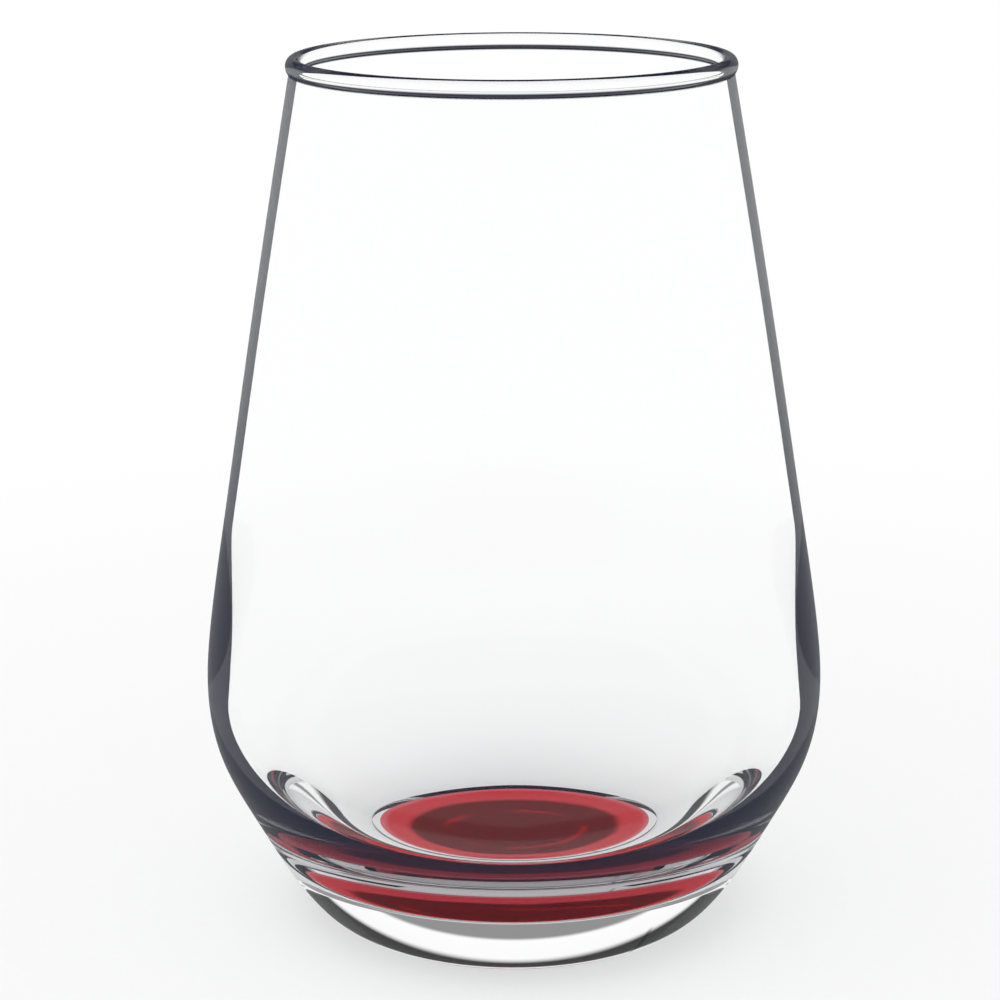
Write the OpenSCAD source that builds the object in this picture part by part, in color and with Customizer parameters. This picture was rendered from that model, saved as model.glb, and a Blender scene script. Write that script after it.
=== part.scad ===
// Stemless wine glass: an egg-shaped bowl with a rounded rim, a thick solid base and a thin
// translucent red coat on the ceiling of the shallow recess under the base.
// The glass stands on the XY plane, and its axis is the Z axis.

/* [Bowl] */
// Height from the table to the top of the rim
glass_h = 124; // [112:0.5:136]
// Outer diameter at the widest place
belly_d = 88.7; // [80:0.1:96]
// Height of the widest place above the table
belly_h = 35.3; // [31:0.1:41]
// Outer diameter of the wall where it meets the rim bead
mouth_d = 61.1; // [54:0.1:68]
// Wall thickness just under the rim bead
wall_top_t = 1.3; // [1:0.05:1.7]
// Wall thickness at the widest place
wall_belly_t = 2.5; // [1.8:0.1:3.4]
// Height above the widest place over which the wall thins
wall_ease_h = 24; // [14:1:40]

/* [Rim] */
// Height of the rounded bead
bead_h = 2.6; // [2:0.1:3.4]
// Thickness of the bead, which is centred on the wall
bead_t = 2.2; // [1.9:0.1:3]

/* [Base] */
// Outer diameter of the contact ring
foot_d = 51.5; // [45:0.1:58]
// Width of the flat face that the glass stands on
ring_w = 0.9; // [0.5:0.1:1.5]
// Width of the slope between the contact ring and the recess's ceiling
slope_w = 0.8; // [0.4:0.1:1.5]
// Depth of the recess
recess_h = 1.2; // [0.8:0.1:2]
// Height of the cavity's floor above the table
floor_h = 9.5; // [7:0.1:13]
// Exponent of the cavity's lower curve: 2 is an ellipse, and more is squarer
cavity_power = 2.4; // [2.1:0.1:3]

/* [Red coat] */
// Thickness of the coat
coat_t = 0.15; // [0.1:0.01:0.3]
// Bare margin between the coat and the edge of the recess's ceiling
coat_margin = 1.5; // [0.5:0.1:3]

/* [Hidden] */

foot_r = foot_d / 2;
belly_r = belly_d / 2;
mouth_r = mouth_d / 2;
ring_inner_r = foot_r - ring_w;
ceiling_r = ring_inner_r - slope_w;
coat_r = ceiling_r - coat_margin;
cavity_r = belly_r - wall_belly_t;

// The bead is an ellipse that meets both faces of the wall at the height of the crease
bead_r = mouth_r - wall_top_t / 2;
bead_z = glass_h - bead_h / 2;
crease_angle = acos(wall_top_t / bead_t);
crease_h = bead_z - bead_h / 2 * sin(crease_angle);

// Points of the lower outline: the share of the way out from foot to belly, and of the belly's height
lower_shares = [[0, 0], [0.154, 0.036], [0.297, 0.115], [0.494, 0.27], [0.713, 0.48], [0.928, 0.72]];
// Points of the upper outline: the share of the way out from mouth to belly, and up from belly to crease
upper_shares = [[1, 0], [0.956, 0.087], [0.792, 0.257], [0.443, 0.596], [0, 1]];
outline_knots = [
    for (s = lower_shares) [foot_r + s[0] * (belly_r - foot_r), s[1] * belly_h],
    for (s = upper_shares) [mouth_r + s[0] * (belly_r - mouth_r), belly_h + s[1] * (crease_h - belly_h)]
];

steps_per_span = 8;
bead_steps = 24;
cavity_steps = 36;
turn_facets = 96;

// Smooth cubic spline through the knots p, with the distance between knots as its parameter.
// It leaves the first knot along +X, flat on the table, and has no bend at the last knot.
function spans(p) = [for (i = [0 : len(p) - 2]) norm(p[i + 1] - p[i])];
function slopes(p, h) = [for (i = [0 : len(h) - 1]) (p[i + 1] - p[i]) / h[i]];
// One row of the tridiagonal system: [below, diagonal, above, right-hand side]
function bend_row(i, h, s) = i == 0
    ? [0, 2 * h[0], h[0], 6 * (s[0] - [1, 0])]
    : [h[i - 1], 2 * (h[i - 1] + h[i]), h[i], 6 * (s[i] - s[i - 1])];
// Forward sweep: each entry is [above, right-hand side] after elimination
function sweep_row(row, last) = [
    row[2] / (row[1] - row[0] * last[0]),
    (row[3] - row[0] * last[1]) / (row[1] - row[0] * last[0])
];
function swept(h, s) = [
    for (i = 0, e = sweep_row(bend_row(0, h, s), [0, [0, 0]]); i < len(h);
         i = i + 1, e = i < len(h) ? sweep_row(bend_row(i, h, s), e) : e) e
];
// Back substitution from the last knot, whose bend is zero
function bends_back(e, i, found) = i < 0 ? found : bends_back(e, i - 1, concat([e[i][1] - e[i][0] * found[0]], found));
function bends(p, h) = let (e = swept(h, slopes(p, h))) bends_back(e, len(h) - 1, [[0, 0]]);
function span_point(a, b, ma, mb, h, u) =
    (1 - u) * a + u * b + h * h / 6 * ((pow(1 - u, 3) - (1 - u)) * ma + (pow(u, 3) - u) * mb);
function spline(p, from, to) = let (h = spans(p), m = bends(p, h)) [
    for (i = [from : to - 1], k = [0 : steps_per_span - 1])
        span_point(p[i], p[i + 1], m[i], m[i + 1], h[i], k / steps_per_span),
    p[to]
];

belly_knot = len(lower_shares);
last_knot = len(outline_knots) - 1;

// The wall thins smoothly from the belly upwards
function ease(u) = u * u * (3 - 2 * u);
function wall_t(z) = wall_belly_t + (wall_top_t - wall_belly_t) * ease(min(1, (z - belly_h) / wall_ease_h));
function inner_wall() = [for (q = spline(outline_knots, belly_knot, last_knot)) [q[0] - wall_t(q[1]), q[1]]];

// Lower curve of the cavity: a quarter of a rounded square from the floor's centre out to the belly
function cavity_curve() = [
    for (k = [0 : cavity_steps - 1]) let (a = 90 * k / cavity_steps)
        [cavity_r * pow(sin(a), 2 / cavity_power), floor_h + (belly_h - floor_h) * (1 - pow(cos(a), 2 / cavity_power))]
];

function bead_arc() = [
    for (k = [1 : bead_steps - 1]) let (a = -crease_angle + (180 + 2 * crease_angle) * k / bead_steps)
        [bead_r + bead_t / 2 * cos(a), bead_z + bead_h / 2 * sin(a)]
];

function reversed(v) = [for (i = [len(v) - 1 : -1 : 0]) v[i]];

// One piece of clear glass: contact ring, thick base, bowl wall and rim bead
module glass_body() {
    color([0.93, 0.95, 0.96, 0.4])
        rotate_extrude($fn = turn_facets)
            polygon(concat(
                [[0, recess_h], [ceiling_r, recess_h], [ring_inner_r, 0]],
                spline(outline_knots, 0, last_knot),
                bead_arc(),
                reversed(inner_wall()),
                reversed(cavity_curve())
            ));
}

// Thin red disc, face to face with the recess's ceiling and clear of the table
module base_coat() {
    color([0.72, 0.05, 0.06, 0.85])
        translate([0, 0, recess_h - coat_t])
            cylinder(h = coat_t, r = coat_r, $fn = turn_facets);
}

glass_body();
base_coat();
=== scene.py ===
import math

import bmesh
import bpy
import numpy as np
from mathutils import Matrix, Vector


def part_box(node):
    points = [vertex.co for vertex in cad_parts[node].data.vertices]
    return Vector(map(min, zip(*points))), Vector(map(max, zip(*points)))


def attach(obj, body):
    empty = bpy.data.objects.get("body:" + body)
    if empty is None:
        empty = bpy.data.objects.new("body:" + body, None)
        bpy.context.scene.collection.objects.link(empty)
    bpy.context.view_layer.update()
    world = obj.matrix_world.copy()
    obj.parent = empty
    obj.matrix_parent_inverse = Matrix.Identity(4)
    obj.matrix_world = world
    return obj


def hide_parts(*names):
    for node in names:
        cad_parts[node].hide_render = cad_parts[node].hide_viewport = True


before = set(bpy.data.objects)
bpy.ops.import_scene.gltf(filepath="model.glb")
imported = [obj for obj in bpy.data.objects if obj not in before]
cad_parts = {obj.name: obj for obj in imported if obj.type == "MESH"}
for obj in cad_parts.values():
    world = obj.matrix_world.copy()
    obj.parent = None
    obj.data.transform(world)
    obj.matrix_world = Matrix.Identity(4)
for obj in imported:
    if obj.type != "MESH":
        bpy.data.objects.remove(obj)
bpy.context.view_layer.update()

# Sizes of the glass, in metres. The outer ones come from the frame, the others repeat the solid's values.
MM = 0.001
glass_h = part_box("glass_body")[1].z
belly_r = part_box("glass_body")[1].x
coat_low, coat_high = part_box("base_coat")
recess_h = coat_high.z
coat_r = coat_high.x
belly_h = 35.3 * MM
mouth_r = 30.55 * MM
wall_top_t = 1.3 * MM
wall_belly_t = 2.5 * MM
wall_ease_h = 24 * MM
bead_h = 2.6 * MM
bead_t = 2.2 * MM
foot_r = 25.75 * MM
ring_w = 0.9 * MM
slope_w = 0.8 * MM
floor_h = 9.5 * MM
cavity_power = 2.4

# The outline from foot to belly, and from belly to mouth: share of the radius, then share of the height
lower_shares = [(0, 0), (0.154, 0.036), (0.297, 0.115), (0.494, 0.27), (0.713, 0.48), (0.928, 0.72)]
upper_shares = [(1, 0), (0.956, 0.087), (0.792, 0.257), (0.443, 0.596), (0, 1)]

bead_r = mouth_r - wall_top_t / 2
bead_z = glass_h - bead_h / 2
crease_angle = math.acos(wall_top_t / bead_t)
crease_h = bead_z - bead_h / 2 * math.sin(crease_angle)
ring_inner_r = foot_r - ring_w
ceiling_r = ring_inner_r - slope_w
cavity_r = belly_r - wall_belly_t

turn_steps = 192
outline_steps = 150
cavity_steps = 90
bead_steps = 28

glass_ior = 1.52
lacquer_ior = 1.5
white = (1.0, 1.0, 1.0, 1.0)


def spline(knots, steps, start=0):
    """Points on the cubic spline through knots that leaves the first one along +r and ends unbent."""
    p = np.array(knots, float)
    gap = np.hypot(*np.diff(p, axis=0).T)
    slope = np.diff(p, axis=0) / gap[:, None]
    n = len(p)
    system = np.zeros((n, n))
    right = np.zeros((n, 2))
    system[0, :2] = 2 * gap[0], gap[0]
    right[0] = 6 * (slope[0] - (1, 0))
    for i in range(1, n - 1):
        system[i, i - 1:i + 2] = gap[i - 1], 2 * (gap[i - 1] + gap[i]), gap[i]
        right[i] = 6 * (slope[i] - slope[i - 1])
    system[-1, -1] = 1
    bend = np.linalg.solve(system, right)
    along = np.concatenate([[0], np.cumsum(gap)])
    points = []
    for t in np.linspace(along[start], along[-1], steps):
        i = min(int(np.searchsorted(along, t, side="right")) - 1, n - 2)
        u = (t - along[i]) / gap[i]
        curve = ((1 - u) ** 3 - (1 - u)) * bend[i] + (u ** 3 - u) * bend[i + 1]
        points.append((1 - u) * p[i] + u * p[i + 1] + gap[i] ** 2 / 6 * curve)
    return [tuple(q) for q in points]


def ease(u):
    return u * u * (3 - 2 * u)


def wall_t(z):
    """Thickness of the wall at height z: it thins smoothly from the belly upwards."""
    share = min(1, max(0, (z - belly_h) / wall_ease_h))
    return wall_belly_t + (wall_top_t - wall_belly_t) * ease(share)


def outline_knots():
    lower = [(foot_r + a * (belly_r - foot_r), b * belly_h) for a, b in lower_shares]
    upper = [(mouth_r + a * (belly_r - mouth_r), belly_h + b * (crease_h - belly_h)) for a, b in upper_shares]
    return lower + upper


def cavity_curve():
    """The bowl's lower curve, from the floor's centre out to the belly: a quarter of a rounded square."""
    points = []
    for k in range(cavity_steps):
        a = math.pi / 2 * k / cavity_steps
        r = cavity_r * math.sin(a) ** (2 / cavity_power)
        z = floor_h + (belly_h - floor_h) * (1 - math.cos(a) ** (2 / cavity_power))
        points.append((r, z))
    return points


def bead_arc():
    """The rim's bead, from the crease outside to the crease inside."""
    points = []
    for k in range(1, bead_steps):
        a = -crease_angle + (math.pi + 2 * crease_angle) * k / bead_steps
        points.append((bead_r + bead_t / 2 * math.cos(a), bead_z + bead_h / 2 * math.sin(a)))
    return points


def glass_profile():
    """The outline of the glass, from the recess's centre out, up, over the rim and down the bowl."""
    half_ceiling_r = ceiling_r * 0.5
    knots = outline_knots()
    inner = [(r - wall_t(z), z) for r, z in spline(knots, outline_steps // 2, len(lower_shares))]
    under = [(0, recess_h), (half_ceiling_r, recess_h), (ceiling_r, recess_h), (ring_inner_r, 0)]
    return under + spline(knots, outline_steps) + bead_arc() + inner[::-1] + cavity_curve()[::-1]


def coat_profile():
    """The outline of the coat: flat, with its edges slightly broken."""
    # The upper face stands this far up into the glass, because lacquer wets the glass with no air between
    coat_bite = 0.085 * MM
    edge = 0.06 * MM
    half_coat_r = coat_r * 0.5
    top = recess_h + coat_bite
    lower = [(0, coat_low.z), (coat_r - edge, coat_low.z), (coat_r, coat_low.z + edge)]
    upper = [(coat_r, top - edge), (coat_r - edge, top), (half_coat_r, top), (0, top)]
    return lower + upper


def lathe(name, profile):
    """A closed mesh of revolution about Z. Points of the profile on the axis become one vertex."""
    on_axis_r = 1e-7
    sharp_angle = math.radians(28)
    mesh = bmesh.new()
    turns = [2 * math.pi * k / turn_steps for k in range(turn_steps)]
    rings = []
    for r, z in profile:
        if r < on_axis_r:
            rings.append([mesh.verts.new((0, 0, z))])
        else:
            rings.append([mesh.verts.new((r * math.cos(t), r * math.sin(t), z)) for t in turns])
    for a, b in zip(rings[:-1], rings[1:]):
        for k in range(turn_steps):
            n = (k + 1) % turn_steps
            if len(a) == 1:
                mesh.faces.new((a[0], b[n], b[k]))
            elif len(b) == 1:
                mesh.faces.new((a[k], a[n], b[0]))
            else:
                mesh.faces.new((a[k], a[n], b[n], b[k]))
    bmesh.ops.recalc_face_normals(mesh, faces=mesh.faces)
    data = bpy.data.meshes.new(name)
    mesh.to_mesh(data)
    mesh.free()
    for face in data.polygons:
        face.use_smooth = True
    data.set_sharp_from_angle(angle=sharp_angle)
    piece = bpy.data.objects.new(name, data)
    bpy.context.scene.collection.objects.link(piece)
    return piece


class Nodes:
    """A short way to write a material's or the world's node tree."""

    def __init__(self, owner):
        owner.use_nodes = True
        self.tree = owner.node_tree
        self.tree.nodes.clear()

    def add(self, kind, **inputs):
        node = self.tree.nodes.new(kind)
        for name, value in inputs.items():
            self.put(node.inputs[name.replace("_", " ")], value)
        return node

    def put(self, socket, value):
        if isinstance(value, bpy.types.NodeSocket):
            self.tree.links.new(value, socket)
        else:
            socket.default_value = value

    def maths(self, operation, *values):
        node = self.tree.nodes.new("ShaderNodeMath")
        node.operation = operation
        for socket, value in zip(node.inputs, values):
            self.put(socket, value)
        return node.outputs[0]

    def ramp(self, value, low, high, start=0.0, end=1.0):
        """A smooth change from start to end while value goes from low to high."""
        node = self.tree.nodes.new("ShaderNodeMapRange")
        node.interpolation_type = "SMOOTHSTEP"
        for socket, v in zip(node.inputs, (value, low, high, start, end)):
            self.put(socket, v)
        return node.outputs[0]

    def blend(self, share, first, second):
        """The colour that goes from first to second as share goes from 0 to 1."""
        first_input, second_input, colour_output = 6, 7, 2
        node = self.tree.nodes.new("ShaderNodeMix")
        node.data_type = "RGBA"
        self.put(node.inputs["Factor"], share)
        self.put(node.inputs[first_input], first)
        self.put(node.inputs[second_input], second)
        return node.outputs[colour_output]

    def shaders(self, share, first, second):
        node = self.tree.nodes.new("ShaderNodeMixShader")
        for socket, value in zip(node.inputs, (share, first, second)):
            self.put(socket, value)
        return node.outputs[0]

    def coordinates(self, kind):
        return self.tree.nodes.new("ShaderNodeTexCoord").outputs[kind]

    def axes(self, kind="Object"):
        return self.add("ShaderNodeSeparateXYZ", Vector=self.coordinates(kind)).outputs

    def light_path(self, *names):
        """The largest of the named outputs: 1 for rays of any of the named kinds."""
        outputs = self.tree.nodes.new("ShaderNodeLightPath").outputs
        total = outputs[names[0]]
        for name in names[1:]:
            total = self.maths("MAXIMUM", total, outputs[name])
        return total

    def noise(self, scale, detail=2.0):
        place = self.coordinates("Object")
        return self.add("ShaderNodeTexNoise", Vector=place, Scale=scale, Detail=detail).outputs["Fac"]

    def finish(self, surface, output="ShaderNodeOutputMaterial"):
        self.tree.links.new(surface, self.tree.nodes.new(output).inputs["Surface"])


def painted_trap_shade(n, trapped, height):
    """Share of painted shade where the surface turns the light back inside: nearly all in the wall, and least
    in the base.
    """
    base_h, base_share = 11 * MM, 0.06
    wall_h, wall_share = 25 * MM, 0.95
    ease_h, top_h, top_share = 45 * MM, 105 * MM, 0.88
    wall_shade = n.ramp(height, base_h, wall_h, base_share, wall_share)
    upper_ease = n.ramp(height, ease_h, top_h, 1.0, top_share)
    return n.maths("MULTIPLY", trapped, n.maths("MULTIPLY", wall_shade, upper_ease))


def painted_lip_shade(n, height):
    """Share of the painted shade line along the rim bead's lower lip."""
    darkness = 0.8
    low, full = crease_h - 0.2 * MM, crease_h + 0.05 * MM
    fading, high = crease_h + 0.5 * MM, crease_h + 0.8 * MM
    return n.maths("MULTIPLY", n.ramp(height, low, full), n.ramp(height, fading, high, darkness, 0.0))


def seam_mark(n, height):
    """Share of the short upright mark that the mould's joint leaves near the foot, right of the front."""
    seam_turn = math.radians(35)
    core_turn, edge_turn = 0.006, 0.018
    darkness = 0.5
    foot_start, foot_end = 0.6 * MM, 1.2 * MM
    top_start, top_end = 5.5 * MM, 7 * MM
    x, y, _ = n.axes()
    turn = n.maths("ARCTAN2", x, n.maths("MULTIPLY", y, -1.0))
    apart = n.maths("ABSOLUTE", n.maths("SUBTRACT", turn, seam_turn))
    line = n.ramp(apart, core_turn, edge_turn, darkness, 0.0)
    above_foot = n.ramp(height, foot_start, foot_end)
    below_top = n.ramp(height, top_start, top_end, 1.0, 0.0)
    return n.maths("MULTIPLY", line, n.maths("MULTIPLY", above_foot, below_top))


def let_through(n, height):
    """The tint of the glass's shadow: light under the thin wall, and darker under the thick foot."""
    foot_h, foot_tint = 2 * MM, (0.45, 0.45, 0.46, 1.0)
    wall_h, wall_tint = 14 * MM, (0.93, 0.935, 0.94, 1.0)
    return n.blend(n.ramp(height, foot_h, wall_h), foot_tint, wall_tint)


def glass_material():
    """Clear pressed glass: faint waves from the mould, with painted shade where the wall turns the light back
    inside and along the rim's lip.
    """
    glass_tint = (0.985, 0.99, 0.995, 1.0)
    painted_shade_tint = (0.018, 0.021, 0.042, 1.0)
    wave_scale, wave_detail, wave_strength, wave_depth = 90.0, 1.0, 0.03, 0.2 * MM
    trap_start, trap_full = 0.9, 0.999
    material = bpy.data.materials.new("clear_glass")
    n = Nodes(material)
    height = n.axes()[2]
    waves = n.add("ShaderNodeBump", Strength=wave_strength, Distance=wave_depth,
                  Height=n.noise(wave_scale, wave_detail))
    glass = n.add("ShaderNodeBsdfPrincipled", Base_Color=glass_tint, Roughness=0.0, IOR=glass_ior,
                  Transmission_Weight=1.0, Normal=waves.outputs["Normal"])
    # The surface turns all of the light back inside the glass, or nearly all at a glancing angle
    trapped = n.ramp(n.add("ShaderNodeFresnel", IOR=glass_ior).outputs[0], trap_start, trap_full)
    # Weaker mirroring than real glass has, which keeps the red under the base free of a white veil
    mirror_cut = 0.8
    still = n.maths("MULTIPLY", n.maths("SUBTRACT", 1.0, trapped), mirror_cut)
    unmirrored = n.add("ShaderNodeBsdfRefraction", Roughness=0.0, IOR=glass_ior)
    body = n.shaders(still, glass.outputs[0], unmirrored.outputs[0])
    # Painted shade: a dark matt colour is mixed into the glass where the light is turned back inside and
    # along the rim's lower lip; the mould's seam mark joins it
    painted_shade_and_seam = n.maths("MAXIMUM", painted_trap_shade(n, trapped, height), painted_lip_shade(n, height))
    painted_shade_and_seam = n.maths("MAXIMUM", painted_shade_and_seam, seam_mark(n, height))
    painted_shade_bsdf = n.add("ShaderNodeBsdfDiffuse", Color=painted_shade_tint)
    wall = n.shaders(painted_shade_and_seam, body, painted_shade_bsdf.outputs[0])
    # Light on its way to a matt surface goes straight through, dimmed
    clear = n.add("ShaderNodeBsdfTransparent", Color=let_through(n, height))
    n.finish(n.shaders(n.light_path("Is Shadow Ray", "Is Diffuse Ray"), wall, clear.outputs[0]))
    return material


def coat_colour(n):
    """Deep red in the middle as painted shade, with brighter swirls as painted reflections, salmon further
    out as painted light, and paler at the very edge.
    """
    # Painted light and shade: the deep middle stands for shade under the base, its swirls for reflections of
    # the ring, and the salmon ring for light coming in at the coat's edge
    shaded_deep_red, glint_swirl_red = (0.13, 0.004, 0.007, 1.0), (0.5, 0.006, 0.009, 1.0)
    lit_outer_red, edge_red = (0.57, 0.042, 0.056, 1.0), (0.66, 0.19, 0.23, 1.0)
    middle_end_r, outer_start_r = coat_r * 0.72, coat_r * 0.80
    edge_start_r, edge_full_r = coat_r * 0.93, coat_r * 0.99
    swirl_r, swirl_w, swirl_share = coat_r * 0.5, 1.1 * MM, 0.6
    swirl_scale, swirl_gap, swirl_full = 70.0, 0.42, 0.62
    wobble_scale, wobble_detail, wobble_w = 110.0, 3.0, 1.6 * MM
    edge_share = 0.6
    x, y, _ = n.axes()
    radius = n.maths("SQRT", n.maths("ADD", n.maths("MULTIPLY", x, x), n.maths("MULTIPLY", y, y)))
    centred_noise = n.maths("SUBTRACT", n.noise(wobble_scale, wobble_detail), 0.5)
    r = n.maths("ADD", radius, n.maths("MULTIPLY", centred_noise, wobble_w))
    swirl = n.ramp(n.maths("ABSOLUTE", n.maths("SUBTRACT", r, swirl_r)), 0.0, swirl_w, 1.0, 0.0)
    swirl = n.maths("MULTIPLY", swirl, n.ramp(n.noise(swirl_scale), swirl_gap, swirl_full))
    deep = n.blend(n.maths("MULTIPLY", swirl, swirl_share), shaded_deep_red, glint_swirl_red)
    red = n.blend(n.ramp(r, middle_end_r, outer_start_r), deep, lit_outer_red)
    rim = n.maths("MULTIPLY", n.ramp(r, edge_start_r, edge_full_r), edge_share)
    return n.blend(rim, red, edge_red)


def coat_material():
    """Red lacquer with a fine uneven film."""
    lacquer_roughness = 0.3
    film_scale, film_strength, film_depth = 900.0, 0.05, 0.05 * MM
    # Only the underside shines, because the other face is wetted onto the glass
    facing_down, facing_out, underside_shine = -0.8, -0.2, 0.5
    material = bpy.data.materials.new("red_coat")
    n = Nodes(material)
    film = n.add("ShaderNodeBump", Strength=film_strength, Distance=film_depth, Height=n.noise(film_scale))
    shine = n.ramp(n.axes("Normal")[2], facing_down, facing_out, underside_shine, 0.0)
    lacquer = n.add("ShaderNodeBsdfPrincipled", Base_Color=coat_colour(n), Roughness=lacquer_roughness,
                    IOR=lacquer_ior, Specular_IOR_Level=shine, Normal=film.outputs["Normal"])
    n.finish(lacquer.outputs[0])
    return material


def floor_material():
    """White table that takes the glass's shadow, lifted towards white where it is seen or mirrored."""
    dark_grain, light_grain = (0.86, 0.86, 0.865, 1.0), (0.9, 0.9, 0.9, 1.0)
    grain_scale, grain_detail = 600.0, 3.0
    shadow_r, backdrop_r = 30 * MM, 300 * MM
    near_white, far_white = 0.5, 1.0
    material = bpy.data.materials.new("white_table")
    n = Nodes(material)
    grain = n.blend(n.noise(grain_scale, grain_detail), dark_grain, light_grain)
    away = n.add("ShaderNodeVectorMath", Vector=n.coordinates("Object"))
    away.operation = "LENGTH"
    matt = n.add("ShaderNodeBsdfDiffuse", Color=grain)
    glow = n.add("ShaderNodeEmission", Color=white, Strength=1.0)
    # The shadow shows near the glass, and the table fades into the white backdrop away from it
    white_share = n.ramp(away.outputs["Value"], shadow_r, backdrop_r, near_white, far_white)
    seen = n.light_path("Is Camera Ray", "Is Glossy Ray", "Is Transmission Ray")
    share = n.maths("MULTIPLY", seen, white_share)
    n.finish(n.shaders(share, matt.outputs[0], glow.outputs[0]))
    return material


def make_world():
    """A room of white walls under a dark ceiling, the same to the camera, to mirrors and through glass.

    Matt surfaces are lit evenly from all round. Heights are the sine of the angle above the horizon.
    """
    even_light = 0.75
    wall_top, wall_end, above_wall = 0.19, 0.25, 0.03
    gap_top, strip_start, gap_grey = 0.35, 0.375, 0.28
    strip_top, ceiling_start = 0.5, 0.58
    world = bpy.data.worlds.new("studio")
    bpy.context.scene.world = world
    n = Nodes(world)
    height = n.axes("Generated")[2]
    # From the horizon up: white walls, a grey gap, a strip of light, and the dark ceiling
    sweep = n.ramp(height, wall_top, wall_end, 1.0, above_wall)
    under_ceiling = n.ramp(height, strip_top, ceiling_start, 1.0, 0.0)
    gap_and_strip = n.maths("MULTIPLY", n.ramp(height, gap_top, strip_start, gap_grey, 1.0), under_ceiling)
    room = n.maths("MAXIMUM", sweep, gap_and_strip)
    matt = n.maths("MINIMUM", n.light_path("Diffuse Depth"), 1.0)
    seen = n.maths("MULTIPLY", room, n.maths("SUBTRACT", 1.0, matt))
    strength = n.maths("ADD", seen, n.maths("MULTIPLY", matt, even_light))
    shade = n.add("ShaderNodeBackground", Color=white, Strength=strength)
    n.finish(shade.outputs[0], "ShaderNodeOutputWorld")


def make_camera():
    """The photograph's view: from a little above the rim, with the table's far edge out of sight."""
    distance = 0.37180
    height = 0.16401
    image_widths_per_metre = 6.9930
    column_share, row_share = 0.5133, 0.4908
    lean = math.radians(-0.22)
    nearest, furthest = 0.01, 50
    data = bpy.data.cameras.new("camera")
    camera = bpy.data.objects.new("camera", data)
    bpy.context.scene.collection.objects.link(camera)
    bpy.context.scene.camera = camera
    place, target = Vector((0, -distance, height)), Vector((0, 0, glass_h / 2))
    aim = (target - place).to_track_quat("-Z", "Y").to_matrix() @ Matrix.Rotation(lean, 3, "Z")
    camera.location = place
    camera.rotation_euler = aim.to_euler()
    data.sensor_width = 36.0
    data.lens = data.sensor_width * (target - place).length * image_widths_per_metre
    data.shift_x = 0.5 - column_share
    data.shift_y = row_share - 0.5
    data.clip_start, data.clip_end = nearest, furthest


def make_floor():
    half = 4.0
    data = bpy.data.meshes.new("table")
    corners = [(-half, -half, 0), (half, -half, 0), (half, half, 0), (-half, half, 0)]
    data.from_pydata(corners, [], [(0, 1, 2, 3)])
    table = bpy.data.objects.new("table", data)
    bpy.context.scene.collection.objects.link(table)
    data.materials.append(floor_material())


def make_lamp():
    """A round soft lamp above, in front and to the left, which glass and mirrors don't show."""
    diameter, watts = 0.9, 6.0
    data = bpy.data.lights.new("softbox", "AREA")
    data.shape = "DISK"
    data.size = diameter
    data.energy = watts
    lamp = bpy.data.objects.new("softbox", data)
    lamp.location = (-0.25, -0.35, 1.3)
    lamp.rotation_euler = (-lamp.location).to_track_quat("-Z", "Y").to_euler()
    lamp.visible_glossy = False
    lamp.visible_transmission = False
    bpy.context.scene.collection.objects.link(lamp)


def make_glass():
    glass = lathe("bowl_and_base", glass_profile())
    glass.data.materials.append(glass_material())
    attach(glass, "root")
    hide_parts("glass_body")


def make_coat():
    coat = lathe("red_lacquer", coat_profile())
    coat.data.materials.append(coat_material())
    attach(coat, "root")
    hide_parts("base_coat")


make_camera()
make_world()
make_lamp()
make_floor()
make_glass()
make_coat()
bpy.context.scene.view_settings.view_transform = "Standard"
